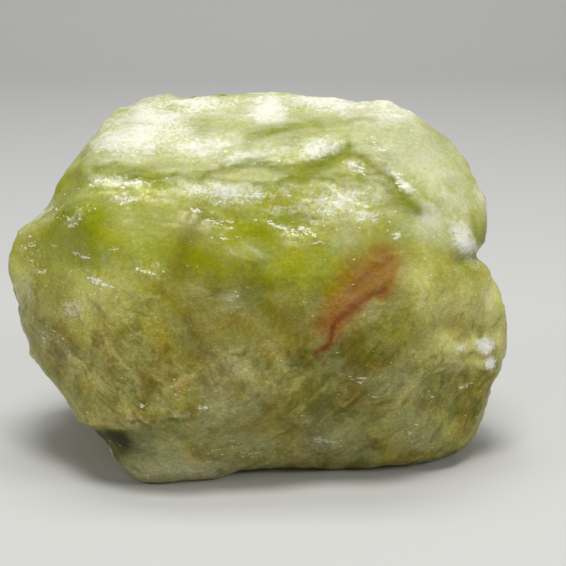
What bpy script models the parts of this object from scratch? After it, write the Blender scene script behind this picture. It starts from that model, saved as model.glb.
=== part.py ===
"""Raw citrine: one broken lump of massive, cloudy, yellow-green quartz.

The stone is one closed solid. Its surface is a set of rays from a middle point. Along
each ray the solid ends at the nearest of its bounding forms: the broad outline, which
leans back a little, and the fracture planes. Edges between them are worn round. Steps,
grooves, hollows and broken plates are then laid on that surface, and the flat base
fracture is cut last. Lengths are in millimetres until the mesh is made; +Z is up, the
broad front looks to -Y, and the origin is in the middle of the base.
"""

import math

import bmesh
import bpy
import numpy as np
from mathutils import Vector, noise

MM = 0.001

# ---------------------------------------------------------------- driving dimensions

LEAN = math.radians(15.0)      # the plane of the broad outline leans back by this
MIDDLE_HEIGHT = 52.4           # height of the middle point over the flat base
BASE_CUT = 1.6                 # what the flat base takes off the blended bottom
EDGE_WEAR = 26.0               # higher is sharper: exponent that blends the forms
WEAR_ALLOWANCE = 1.018         # the outline is drawn this much wider, and wears back
RAY_GRID = 88                  # rays along each edge of the starting cube
TRIANGLES = 9400               # faces kept, where the surface bends most

# Broad outline, (across, up) in the leaning plane, clockwise from the upper left corner.
OUTLINE = (
    (-54.7, 55.2), (-51.0, 62.8), (-42.4, 66.4), (-20.4, 67.6), (1.5, 66.8), (26.2, 67.2),
    (47.8, 65.0), (54.8, 60.0), (60.4, 56.0), (66.4, 50.8), (74.8, 44.6), (79.6, 36.2),
    (80.2, 30.8), (76.0, 18.4), (73.0, 13.2), (77.0, 5.7), (82.2, -7.0), (83.2, -13.7),
    (82.0, -19.9), (78.4, -27.4), (77.4, -31.8), (75.8, -36.8), (72.6, -45.0),
    (69.2, -51.6), (62.6, -56.6), (54.4, -59.8), (41.0, -61.0), (10.7, -61.4),
    (-6.0, -62.0), (-18.0, -63.6), (-31.0, -67.2), (-37.0, -67.0), (-41.2, -64.2),
    (-45.8, -58.0), (-51.2, -44.0), (-55.6, -34.8), (-66.2, -25.6), (-70.8, -18.9),
    (-75.6, -11.4), (-78.0, -3.6), (-81.4, 1.3), (-82.2, 7.0), (-80.2, 13.8),
    (-77.2, 20.8), (-72.4, 23.6), (-66.2, 29.0), (-60.0, 42.4),
)

# Fracture planes: (azimuth, elevation, distance from the middle point). Azimuth 0 looks
# to the front, -Y, and 90 to +X.
FRACTURE_PLANES = {
    "top": (-4.0, 71.0, 51.8),
    "upper front": (2.0, 31.0, 40.0),
    "middle front": (-5.0, 17.0, 43.5),
    "lower front": (6.0, -6.0, 53.5),
    "under front": (10.0, -29.0, 55.0),
    "foot": (-16.0, -9.0, 63.5),
    "left front": (-42.0, 8.0, 60.0),
    "left flank": (-80.0, 42.0, 72.5),
    "lower left": (-48.0, -34.0, 73.5),
    "right shoulder": (52.0, 38.0, 67.5),
    "right front": (40.0, 2.0, 62.0),
    "lower right": (54.0, -30.0, 81.5),
    "upper back": (170.0, 30.0, 62.5),
    "back": (-170.0, -2.0, 51.5),
    "back left": (-128.0, 14.0, 66.0),
    "back right": (127.0, 4.0, 66.0),
    "lower back": (178.0, -38.0, 56.0),
    "base": (0.0, -90.0, MIDDLE_HEIGHT + BASE_CUT),
}

FRONT = 1.0
BACK = -1.0

# Grooves between fracture planes: (side, depth, half width, (across, up) points).
GROOVES = {
    "brow, left": (FRONT, 1.5, 3.0, ((-82.0, 14.0), (-74.5, 21.0), (-61.5, 28.8),
                                     (-58.0, 32.3), (-52.0, 38.1), (-33.1, 34.7),
                                     (-12.8, 37.4), (8.1, 40.4), (15.0, 41.0))),
    "brow, right": (FRONT, 2.0, 3.4, ((9.5, 36.8), (27.7, 43.9), (33.3, 42.4),
                                      (40.3, 36.1), (45.0, 29.4), (55.2, 23.5),
                                      (58.8, 15.4), (63.0, 7.8))),
    "right nick": (FRONT, 3.4, 2.4, ((60.0, 8.8), (72.0, 12.9), (84.0, 15.0))),
    "back seam": (BACK, 2.6, 2.6, ((-74.0, 32.0), (-58.0, 30.0), (-30.0, 22.0),
                                   (2.0, 27.0), (30.0, 14.0), (62.0, 18.0),
                                   (76.0, 19.0))),
}

# Steps: the side to the left of the way the points run stands proud by the height, and
# that fades over the reach. (side, height, reach, (across, up) points).
STEPS = {
    "lower left ledge": (FRONT, 2.8, 14.0, ((-72.0, -40.5), (-57.7, -40.6),
                                            (-33.7, -40.7), (-17.6, -38.0),
                                            (-11.0, -36.0))),
    "lower right ledge": (FRONT, 3.2, 12.0, ((43.0, -40.0), (45.5, -32.3),
                                             (53.1, -25.6), (69.0, -24.8),
                                             (79.5, -28.6), (92.0, -32.0))),
    "top terrace": (FRONT, 1.6, 8.0, ((-62.0, 46.0), (-51.0, 46.2), (-19.4, 48.6),
                                      (8.8, 51.8), (23.6, 53.6), (36.5, 55.6),
                                      (44.6, 53.6), (52.0, 50.0))),
    "left lip": (FRONT, 1.8, 10.0, ((-52.0, 34.0), (-58.5, 29.4), (-69.5, 24.0),
                                    (-88.0, 18.0))),
    "left slab": (FRONT, 0.9, 24.0, ((-86.0, -16.0), (-63.0, -12.0), (-42.0, -21.0),
                                     (-26.0, -32.0), (-18.5, -46.0))),
    "back ledge": (BACK, 3.6, 18.0, ((-88.0, 0.0), (-66.0, -4.0), (-34.0, -14.0),
                                     (-8.0, -9.0), (22.0, -24.0), (60.0, -20.0),
                                     (88.0, -22.0))),
    "back crest": (BACK, 2.8, 14.0, ((64.0, 52.0), (50.0, 44.0), (14.0, 38.0),
                                     (-40.0, 46.0), (-60.0, 54.0))),
}

STEP_FACE = 1.6                # half the width of a step's sloping face
LINE_TAPER = 9.0               # grooves and steps run out over this length

# Shell-shaped hollows: (side, (across, up) of the middle, radius, depth).
HOLLOWS = {
    "front dip": (FRONT, (-1.0, 0.0), 20.0, 0.7),
    "lower right scoop": (FRONT, (62.5, -34.0), 12.5, 3.4),
    "lower left scoop": (FRONT, (-42.0, -48.0), 12.0, 2.6),
    "low front notch": (FRONT, (8.0, -59.0), 20.0, 3.2),
    "left cheek": (FRONT, (-54.0, 11.5), 15.0, 1.4),
    "low front dip": (FRONT, (20.5, -35.5), 17.0, 1.6),
    "back bowl": (BACK, (-24.0, 4.0), 22.0, 3.6),
    "back chip": (BACK, (38.0, -2.0), 15.0, 3.0),
    "back low chip": (BACK, (6.0, -40.0), 14.0, 2.4),
}

# Broken plates: the surface is a patchwork of small, slightly tilted faces.
PLATE_COUNT = 120
PLATE_TILT = 0.075
PLATE_RISE = 0.5
PLATE_SEAM = 1.4
PLATE_SEED = 11

LUMP_SIZE = 34.0
LUMP_HEIGHT = 1.3
GRIT_SIZE = 9.0
GRIT_HEIGHT = 0.6
NOISE_PLACE = Vector((3.7, 8.1, 5.3))
NOISE_FADE = 1.0               # how fast the finer octaves of lumps and grit fade
NOISE_STEP = 2.1               # how much finer each octave is
NOISE_OCTAVES = 2

SIDE_BLEND = (-6.0, 10.0)      # one side's relief comes in between these, out from middle
CUT_TOLERANCE = 1e-7

COLOUR = (0.42, 0.44, 0.07, 1.0)
ROUGHNESS = 0.28
QUARTZ_IOR = 1.54

ACROSS = np.array((1.0, 0.0, 0.0))
UP = np.array((0.0, math.sin(LEAN), math.cos(LEAN)))
OUT = np.array((0.0, -math.cos(LEAN), math.sin(LEAN)))


# ---------------------------------------------------------------- bounding forms

def plane_normal(azimuth, elevation):
    """The direction that a plane faces."""
    turn, rise = math.radians(azimuth), math.radians(elevation)
    level = math.cos(rise)
    return np.array((math.sin(turn) * level, -math.cos(turn) * level, math.sin(rise)))


def outline_radius(angle):
    """How far the outline is from the middle point, for angles in the leaning plane."""
    corners = np.array(OUTLINE)
    corner_angle = np.arctan2(corners[:, 1], corners[:, 0])
    corners = corners[np.argsort(corner_angle)]
    corner_angle = np.sort(corner_angle)
    after = np.searchsorted(corner_angle, angle) % len(corners)
    start, end = corners[after - 1], corners[after]
    side = end - start
    ray = np.stack((np.cos(angle), np.sin(angle)), axis=1)
    cross = start[:, 0] * side[:, 1] - start[:, 1] * side[:, 0]
    return cross / (ray[:, 0] * side[:, 1] - ray[:, 1] * side[:, 0])


def ray_length(rays):
    """Where each ray leaves the solid: a worn-down nearest of all the bounding forms."""
    across, up, out = rays @ ACROSS, rays @ UP, rays @ OUT
    spread = np.hypot(across, up)
    reach = outline_radius(np.arctan2(up, across)) * WEAR_ALLOWANCE
    nearness = (spread / reach) ** EDGE_WEAR
    for azimuth, elevation, distance in FRACTURE_PLANES.values():
        facing = np.maximum(rays @ plane_normal(azimuth, elevation), 0.0)
        nearness += (facing / distance) ** EDGE_WEAR
    return nearness ** (-1.0 / EDGE_WEAR)


# ---------------------------------------------------------------- relief

def smooth(value, low, high):
    """0 below low, 1 above high, and an S curve between."""
    share = np.clip((value - low) / (high - low), 0.0, 1.0)
    return share * share * (3.0 - 2.0 * share)


def to_line(spots, points):
    """Distance of each spot to a polyline, its side (1 is the left), and a share that
    fades to 0 towards the polyline's ends."""
    best = np.full(len(spots), np.inf)
    hand = np.ones(len(spots))
    travel = np.zeros(len(spots))
    line = np.array(points)
    length = 0.0
    for start, end in zip(line[:-1], line[1:]):
        run = end - start
        away = spots - start
        along = np.clip(away @ run / (run @ run), 0.0, 1.0)
        gap = np.linalg.norm(away - along[:, None] * run, axis=1)
        turn = run[0] * away[:, 1] - run[1] * away[:, 0]
        nearer = gap < best
        best = np.where(nearer, gap, best)
        hand = np.where(nearer, np.sign(turn), hand)
        travel = np.where(nearer, length + along * np.linalg.norm(run), travel)
        length += np.linalg.norm(run)
    fade = smooth(travel, 0.0, LINE_TAPER) * smooth(length - travel, 0.0, LINE_TAPER)
    return best, hand, fade


def line_relief(spots, side):
    """Height that grooves, steps and hollows give on one side of the stone."""
    height = np.zeros(len(spots))
    for where, depth, half_width, points in GROOVES.values():
        if where == side:
            gap, _, fade = to_line(spots, points)
            height -= depth * fade * np.exp(-((gap / half_width) ** 2))
    for where, rise, reach, points in STEPS.values():
        if where == side:
            gap, hand, fade = to_line(spots, points)
            lift = smooth(gap * hand, -STEP_FACE, STEP_FACE) * np.exp(-gap / reach)
            height += rise * fade * lift
    for where, middle, radius, depth in HOLLOWS.values():
        if where == side:
            gap = np.linalg.norm(spots - np.array(middle), axis=1) / radius
            height -= depth * np.maximum(1.0 - gap * gap, 0.0)
    return height


def plate_relief(points):
    """Height of the patchwork of tilted broken plates."""
    dice = np.random.RandomState(PLATE_SEED)
    spread = dice.normal(size=(PLATE_COUNT, 3))
    spread /= np.linalg.norm(spread, axis=1)[:, None]
    middles = spread * ray_length(spread)[:, None]
    tilts = dice.normal(scale=PLATE_TILT, size=(PLATE_COUNT, 3))
    rises = dice.normal(scale=PLATE_RISE, size=PLATE_COUNT)
    away = points[:, None, :] - middles[None, :, :]
    gap = np.linalg.norm(away, axis=2)
    weight = np.exp(-(gap - gap.min(axis=1)[:, None]) / PLATE_SEAM)
    weight /= weight.sum(axis=1)[:, None]
    plate_height = np.einsum("ijk,jk->ij", away, tilts) + rises
    return (weight * plate_height).sum(axis=1)


def noise_relief(points):
    """Broad lumps and finer grit."""
    height = np.empty(len(points))
    for index, point in enumerate(points):
        place = Vector(point)
        lump = noise.fractal(place / LUMP_SIZE + NOISE_PLACE, NOISE_FADE, NOISE_STEP,
                             NOISE_OCTAVES)
        grit = noise.fractal(place / GRIT_SIZE + NOISE_PLACE, NOISE_FADE, NOISE_STEP,
                             NOISE_OCTAVES)
        height[index] = LUMP_HEIGHT * lump + GRIT_HEIGHT * grit
    return height


def stone_points(rays):
    """The surface point on each ray, in millimetres from the middle point."""
    points = rays * ray_length(rays)[:, None]
    spots = np.stack((points @ ACROSS, points @ UP), axis=1)
    out = points @ OUT
    height = noise_relief(points) + plate_relief(points)
    height += smooth(out, *SIDE_BLEND) * line_relief(spots, FRONT)
    height += smooth(-out, *SIDE_BLEND) * line_relief(spots, BACK)
    return points + rays * height[:, None]


# ---------------------------------------------------------------- mesh

def ray_cube():
    """A finely divided cube, whose corners give evenly spread rays."""
    mesh = bpy.data.meshes.new("ray_cube")
    grid = bmesh.new()
    bmesh.ops.create_cube(grid, size=2.0)
    bmesh.ops.subdivide_edges(grid, edges=grid.edges[:], cuts=RAY_GRID - 1,
                              use_grid_fill=True)
    grid.to_mesh(mesh)
    grid.free()
    return mesh


def shape_stone(mesh):
    """Moves the cube's corners out to the stone's surface."""
    corners = np.empty(len(mesh.vertices) * 3)
    mesh.vertices.foreach_get("co", corners)
    rays = np.tan(corners.reshape(-1, 3) * (math.pi / 4.0))
    rays /= np.linalg.norm(rays, axis=1)[:, None]
    points = stone_points(rays) + np.array((0.0, 0.0, MIDDLE_HEIGHT))
    mesh.vertices.foreach_set("co", (points * MM).ravel())
    mesh.update()


def thin_out(mesh):
    """Keeps faces where the surface bends, and fewer where it is flat."""
    draft = bpy.data.objects.new("draft", mesh)
    bpy.context.scene.collection.objects.link(draft)
    decimate = draft.modifiers.new("thin out", "DECIMATE")
    decimate.ratio = TRIANGLES / (2.0 * len(mesh.polygons))
    faces = draft.evaluated_get(bpy.context.evaluated_depsgraph_get())
    thin = bpy.data.meshes.new_from_object(faces)
    bpy.data.objects.remove(draft)
    return thin


def cut_base(mesh):
    """Cuts the flat base fracture and centres the stone over it."""
    stone = bmesh.new()
    stone.from_mesh(mesh)
    cut = bmesh.ops.bisect_plane(
        stone, geom=stone.verts[:] + stone.edges[:] + stone.faces[:], dist=CUT_TOLERANCE,
        plane_co=(0.0, 0.0, 0.0), plane_no=(0.0, 0.0, -1.0), clear_outer=True)
    rim = [piece for piece in cut["geom_cut"] if isinstance(piece, bmesh.types.BMEdge)]
    bmesh.ops.triangle_fill(stone, edges=rim, normal=(0.0, 0.0, -1.0), use_beauty=True)
    bmesh.ops.recalc_face_normals(stone, faces=stone.faces[:])
    corners = np.array([corner.co for corner in stone.verts])
    low, high = corners.min(axis=0), corners.max(axis=0)
    middle = (low + high) / 2.0
    bmesh.ops.translate(stone, verts=stone.verts[:], vec=(-middle[0], -middle[1], -low[2]))
    stone.to_mesh(mesh)
    stone.free()


def quartz_material():
    """Cloudy yellow-green quartz."""
    material = bpy.data.materials.new("citrine_quartz")
    material.use_nodes = True
    shader = material.node_tree.nodes["Principled BSDF"]
    shader.inputs["Base Color"].default_value = COLOUR
    shader.inputs["Roughness"].default_value = ROUGHNESS
    shader.inputs["Metallic"].default_value = 0.0
    shader.inputs["IOR"].default_value = QUARTZ_IOR
    return material


def build():
    """Makes the stone in a collection named for it."""
    for leftover in list(bpy.data.objects):
        bpy.data.objects.remove(leftover, do_unlink=True)
    collection = bpy.data.collections.new("raw_citrine")
    bpy.context.scene.collection.children.link(collection)
    rays = ray_cube()
    shape_stone(rays)
    mesh = thin_out(rays)
    cut_base(mesh)
    mesh.name = "citrine"
    mesh.materials.clear()
    mesh.materials.append(quartz_material())
    collection.objects.link(bpy.data.objects.new("citrine", mesh))


build()
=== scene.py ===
"""The looks of the raw citrine: one lump of cloudy yellow-green quartz.

The CAD solid gives the form. Here it is remeshed finely and gets the relief that the
solid is too coarse for: crisp ledges, cracks, chipped patches, striations and ripples.
Named places on the stone then carry its colours: frost, clear depth, veils and iron
stain, with painted shade, highlights and glints. Lengths are in millimetres until the
mesh is made.
"""

import math
from types import SimpleNamespace

import bmesh
import bpy
import numpy as np
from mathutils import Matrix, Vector, noise


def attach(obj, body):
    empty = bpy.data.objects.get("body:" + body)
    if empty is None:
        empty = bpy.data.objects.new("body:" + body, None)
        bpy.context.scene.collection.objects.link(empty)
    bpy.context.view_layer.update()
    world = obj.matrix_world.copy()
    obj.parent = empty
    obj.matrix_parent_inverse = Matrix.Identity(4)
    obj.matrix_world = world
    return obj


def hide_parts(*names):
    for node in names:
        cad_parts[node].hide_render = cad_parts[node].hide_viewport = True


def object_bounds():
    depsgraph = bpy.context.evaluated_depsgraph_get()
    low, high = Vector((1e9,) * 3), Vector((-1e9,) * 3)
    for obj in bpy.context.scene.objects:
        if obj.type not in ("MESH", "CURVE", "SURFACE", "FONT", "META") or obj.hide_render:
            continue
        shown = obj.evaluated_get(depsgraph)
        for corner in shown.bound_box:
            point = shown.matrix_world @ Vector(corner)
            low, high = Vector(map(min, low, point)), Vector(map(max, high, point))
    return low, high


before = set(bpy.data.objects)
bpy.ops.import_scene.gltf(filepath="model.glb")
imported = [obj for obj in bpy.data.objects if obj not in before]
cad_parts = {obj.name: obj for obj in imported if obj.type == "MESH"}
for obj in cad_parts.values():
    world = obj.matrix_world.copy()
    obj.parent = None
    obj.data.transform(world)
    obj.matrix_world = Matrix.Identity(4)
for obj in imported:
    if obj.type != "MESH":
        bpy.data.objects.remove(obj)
CAD_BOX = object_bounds()

MM = 0.001

# ---------------------------------------------------------------- the view
# The camera looks level across and a little down on the stone's broad front.

LOOK_DOWN = math.radians(15.0)
CAMERA_DISTANCE = 550.0
LENS = 105.0
SENSOR = 36.0
AIM = np.array((8.0, -1.1, 55.8))       # what the middle of the frame looks at

ACROSS = np.array((1.0, 0.0, 0.0))
UP = np.array((0.0, math.sin(LOOK_DOWN), math.cos(LOOK_DOWN)))
OUT = np.array((0.0, -math.cos(LOOK_DOWN), math.sin(LOOK_DOWN)))
CAMERA_PLACE = AIM + CAMERA_DISTANCE * OUT

# ---------------------------------------------------------------- places on the front
# (across, up) in millimetres from the middle of the frame, as seen from the camera.

FLANK_SEAM = ((-82.3, 20.3), (-77.7, 23.7), (-71.3, 27.3), (-69.0, 31.0), (-65.7, 35.0),
              (-62.3, 37.7))
BROW_LEFT = ((-62.3, 37.7), (-54.3, 36.5), (-44.3, 34.6), (-36.0, 35.9))
BRIGHT_CRACK = ((-64.5, 31.9), (-59.3, 30.8), (-54.3, 30.2), (-49.5, 30.8))
BROW_MIDDLE = ((-36.0, 35.9), (-26.0, 34.6), (-6.0, 33.6))
BROW_SWEEP = ((-27.0, 35.7), (-19.0, 38.7), (-12.0, 40.0), (-6.0, 39.3), (3.0, 36.0))
BROW_UNDER = ((-1.0, 34.2), (8.7, 35.6), (17.0, 33.8))
BROW_RISE = ((1.3, 38.6), (8.7, 39.4), (15.0, 40.0), (20.7, 43.2))
BROW_PEAK = ((21.3, 48.0), (21.7, 42.0))
BROW_RIGHT = ((20.7, 43.0), (26.3, 41.0), (34.7, 34.6), (40.0, 28.7), (44.7, 23.0))
TERRACE = ((-11.0, 48.3), (-4.0, 50.8), (3.0, 52.2), (12.0, 52.6))
TERRACE_END = ((10.0, 52.5), (21.7, 53.9), (31.0, 54.6))
TONGUE = ((50.0, 34.0), (57.0, 22.0), (61.5, 13.0))
TONGUE_EDGE = ((63.3, 22.0), (64.8, 15.0), (66.0, 9.5))
LOWER_LEFT_LEDGE = ((-68.0, -43.3), (-57.7, -45.3), (-44.3, -45.7), (-36.0, -45.0),
                    (-28.0, -43.0))
LOWER_LEFT_CRACK = ((-64.3, -48.7), (-51.0, -49.3), (-44.0, -48.3))
LOWER_RIGHT_LIP = ((47.7, -29.0), (54.0, -27.0), (63.0, -27.7), (67.3, -29.7),
                   (69.7, -31.3))
CHIP_LINE_LEFT = ((-28.0, 21.7), (-20.0, 20.3), (-12.0, 19.7), (-7.0, 18.3))
CHIP_LINE_RIGHT = ((-5.0, 18.7), (3.0, 18.3), (9.0, 16.3), (12.3, 12.7), (17.0, 16.0))

# Cracks: (depth, half width, points).
CRACKS = {
    "brow left": (0.14, 0.9, BROW_LEFT),
    "brow right": (0.16, 0.9, BROW_RIGHT),
    "bright ledge": (0.4, 0.8, BRIGHT_CRACK),
    "lower left": (0.3, 0.8, LOWER_LEFT_CRACK),
    "lip": (0.25, 1.2, LOWER_RIGHT_LIP),
}

# Ledges: (rise, reach, points). The side to the left of the way they run stands proud.
LEDGES = {
    "brow left": (0.35, 5.0, BROW_LEFT[::-1]),
    "brow right": (0.30, 5.0, BROW_RIGHT[::-1]),
    "bright ledge": (0.5, 3.0, BRIGHT_CRACK[::-1]),
    "lower left": (0.7, 7.0, LOWER_LEFT_LEDGE),
    "lower right lip": (0.5, 7.0, LOWER_RIGHT_LIP),
    "chip line left": (0.35, 5.0, CHIP_LINE_LEFT),
    "chip line right": (0.35, 5.0, CHIP_LINE_RIGHT),
}

# Patches: ((across, up), (half width, half height), turn in degrees, strength).
# Strands: (width at the start, width at the end, strength, points).
CHIPPED = (
    ((-53.5, 32.0), (10.5, 3.6), -4.0, 1.0), ((-51.5, 27.2), (6.0, 1.8), 0.0, 0.8),
    ((24.0, 38.2), (4.0, 1.8), -20.0, 1.0), ((39.4, 33.2), (5.5, 2.0), -42.0, 1.0),
    ((-17.0, 20.6), (11.0, 1.8), -5.0, 0.6), ((4.0, 17.5), (9.0, 2.2), -12.0, 0.8),
    ((-63.0, 4.2), (4.5, 1.6), -10.0, 0.7), ((-44.5, 4.6), (6.5, 2.2), -14.0, 0.7),
    ((12.2, 44.8), (6.8, 3.4), 12.0, 0.9), ((-75.0, 22.0), (6.0, 2.6), 45.0, 0.8),
    ((-66.0, 24.0), (5.0, 3.0), 0.0, 0.6), ((18.7, 27.0), (13.0, 6.0), 0.0, 0.5),
    ((-53.0, 45.0), (10.0, 3.0), 0.0, 0.4), ((-27.0, 46.0), (8.0, 3.5), 0.0, 0.4),
    ((-82.0, 8.0), (4.0, 12.0), 0.0, 0.5),
)
# Where painted glints crowd, and the coat is glossier.
SPARKLE = (
    ((-77.5, 24.3), (5.0, 3.0), 50.0, 0.8), ((-53.3, 27.0), (5.0, 1.8), 0.0, 0.9),
    ((-28.7, 23.8), (3.5, 1.5), -20.0, 1.1), ((-21.2, 19.8), (5.0, 1.3), -5.0, 1.2),
    ((-16.5, 15.2), (9.0, 1.1), 0.0, 0.6), ((-67.0, 9.8), (2.8, 1.1), -15.0, 1.1),
    ((-57.2, 11.0), (2.0, 0.8), 0.0, 1.1), ((-44.2, 3.8), (4.5, 1.4), -8.0, 1.2),
    ((-60.8, 0.0), (5.5, 1.6), -28.0, 1.2), ((-81.3, 4.0), (3.0, 1.5), -15.0, 0.9),
    ((3.2, 17.8), (9.0, 1.7), -12.0, 1.2), ((12.3, 14.3), (2.2, 1.8), 0.0, 1.0),
    ((38.3, 15.8), (1.6, 1.6), 0.0, 1.2), ((35.0, 19.2), (4.0, 1.2), -45.0, 0.8),
    ((18.0, 25.5), (13.0, 6.0), 0.0, 0.7), ((-55.0, 33.5), (11.0, 2.2), 0.0, 0.9),
    ((24.0, 38.2), (3.4, 1.6), -20.0, 1.0), ((39.8, 33.6), (5.5, 1.7), -42.0, 1.2),
    ((12.2, 44.8), (6.8, 3.6), 12.0, 0.7), ((-53.0, 45.0), (10.0, 3.0), 0.0, 0.7),
    ((-27.0, 46.0), (8.0, 3.5), 0.0, 0.8), ((-7.0, 41.7), (13.0, 2.5), 3.0, 0.7),
    ((24.0, -30.8), (5.5, 2.5), 0.0, 0.9), ((30.0, -36.8), (3.0, 2.0), 0.0, 0.8),
    ((15.0, -53.0), (5.0, 1.6), 0.0, 1.0), ((44.0, -50.5), (5.5, 3.5), 0.0, 0.7),
    ((-12.7, -56.5), (10.0, 4.0), -5.0, 0.8), ((-46.2, -40.7), (3.0, 1.3), 0.0, 1.1),
    ((-27.2, -41.5), (2.4, 1.4), 0.0, 1.0), ((-34.8, -37.2), (2.5, 1.6), 0.0, 0.9),
    ((-78.3, -17.5), (5.0, 2.5), -20.0, 0.9), ((-15.5, -3.5), (3.0, 1.5), -20.0, 0.6),
    ((-43.0, -63.0), (8.0, 2.5), 0.0, 0.8), ((-57.0, -53.0), (7.0, 4.0), -35.0, 0.3),
    ((49.8, -37.8), (3.0, 1.3), 0.0, 0.9), ((-72.0, 17.0), (9.0, 7.0), 30.0, 0.45),
    ((32.0, 46.0), (3.5, 3.0), 0.0, 0.8), ((-84.0, 12.0), (3.0, 10.0), 15.0, 0.8),
    ((-68.0, 22.0), (7.0, 3.0), 20.0, 0.9),
)
# Painted glints: single bright strokes where breaks catch the light.
GLINT_STROKES = (
    (0.9, 0.6, 1.0, ((-69.2, 10.3), (-64.7, 9.0))),
    (0.7, 0.5, 0.8, ((-58.7, 11.1), (-55.3, 10.7))),
    (1.0, 0.7, 1.0, ((-48.0, 5.0), (-44.3, 3.8))),
    (0.9, 0.6, 0.9, ((-45.0, 3.8), (-41.5, 2.6))),
    (1.0, 0.8, 1.0, ((-65.3, 2.3), (-61.7, 1.2))),
    (0.9, 0.6, 1.0, ((-62.3, 1.8), (-59.3, -0.7))),
    (0.8, 0.6, 0.9, ((-60.0, 0.0), (-56.3, -2.3))),
    (0.6, 0.5, 0.8, ((-76.7, 7.4), (-74.5, 7.8))),
    (0.9, 0.6, 1.0, ((-25.3, 20.6), (-21.0, 19.5))),
    (0.8, 0.6, 0.9, ((-22.0, 20.9), (-17.3, 20.3))),
    (1.0, 0.7, 0.9, ((-31.3, 24.7), (-29.0, 23.7))),
    (0.8, 0.6, 0.9, ((-29.0, 23.7), (-26.0, 22.7))),
    (0.6, 0.6, 0.8, ((-24.3, 15.3), (-23.0, 15.2))),
    (0.6, 0.6, 0.8, ((-17.0, 15.4), (-13.5, 15.2))),
    (0.6, 0.6, 0.8, ((-12.0, 15.2), (-9.0, 15.0))),
    (0.7, 0.6, 0.8, ((-16.5, -3.6), (-14.5, -4.0))),
    (0.9, 0.8, 1.0, ((-4.7, 19.7), (-1.0, 18.5))),
    (1.0, 0.8, 1.0, ((-1.3, 19.0), (3.7, 17.8))),
    (1.0, 0.9, 1.0, ((5.7, 18.3), (8.7, 17.6))),
    (1.0, 0.8, 1.0, ((8.3, 17.8), (11.0, 16.0))),
    (1.0, 0.9, 0.9, ((12.3, 14.2), (14.3, 13.5))),
    (0.7, 0.6, 0.7, ((13.3, 19.5), (18.0, 21.2))),
    (1.0, 0.9, 1.0, ((37.7, 16.0), (39.5, 15.2))),
    (1.2, 0.9, 0.9, ((-11.0, 30.4), (-6.7, 29.0))),
    (1.0, 0.8, 0.9, ((21.7, 39.6), (26.7, 37.0))),
    (0.9, 0.8, 0.9, ((34.7, 36.8), (38.3, 35.2))),
    (0.9, 0.8, 0.9, ((38.5, 34.8), (43.0, 31.0))),
    (1.1, 0.9, 0.8, ((-61.7, 34.2), (-52.7, 33.4))),
    (1.1, 0.8, 0.9, ((-49.7, 33.7), (-44.3, 33.3))),
    (0.9, 0.7, 0.9, ((-56.3, 28.0), (-49.7, 27.5))),
    (0.6, 0.5, 0.9, ((59.0, -34.4), (64.0, -33.0))),
    (0.8, 0.6, 0.8, ((11.0, -52.3), (19.0, -53.2))),
    (0.9, 0.7, 1.0, ((-28.0, -41.2), (-25.7, -41.5))),
    (0.8, 0.7, 0.9, ((-47.7, -40.0), (-45.7, -40.5))),
    (0.7, 0.6, 0.9, ((-75.3, 21.5), (-73.3, 22.0))),
    (0.8, 0.7, 1.0, ((-71.5, 18.4), (-68.4, 19.6))),
    (0.8, 0.6, 0.9, ((-68.1, 25.3), (-65.8, 24.1))),
    (0.6, 0.6, 0.8, ((-71.5, 24.3), (-70.0, 24.8))),
    (0.6, 0.6, 0.8, ((-67.7, 21.5), (-66.2, 20.8))),
    (0.7, 0.6, 0.9, ((-70.5, 21.2), (-68.7, 22.0))),
    (0.7, 0.6, 0.9, ((-77.2, 12.9), (-75.3, 12.7))),
    (0.8, 0.7, 0.9, ((-87.0, 12.0), (-85.5, 11.2))),
    (0.7, 0.6, 0.8, ((-84.8, 5.0), (-83.1, 3.9))),
    (0.8, 0.7, 1.0, ((-82.0, 3.8), (-79.3, 3.4))),
    (0.6, 0.5, 0.8, ((-68.1, -2.6), (-66.5, -2.9))),
    (0.7, 0.6, 0.9, ((-63.9, -3.3), (-62.4, -3.4))),
    (0.9, 0.8, 1.0, ((66.5, -20.0), (68.3, -21.5))),
    (0.7, 0.6, 0.8, ((-77.0, -16.0), (-73.5, -18.5))),
)
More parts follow.
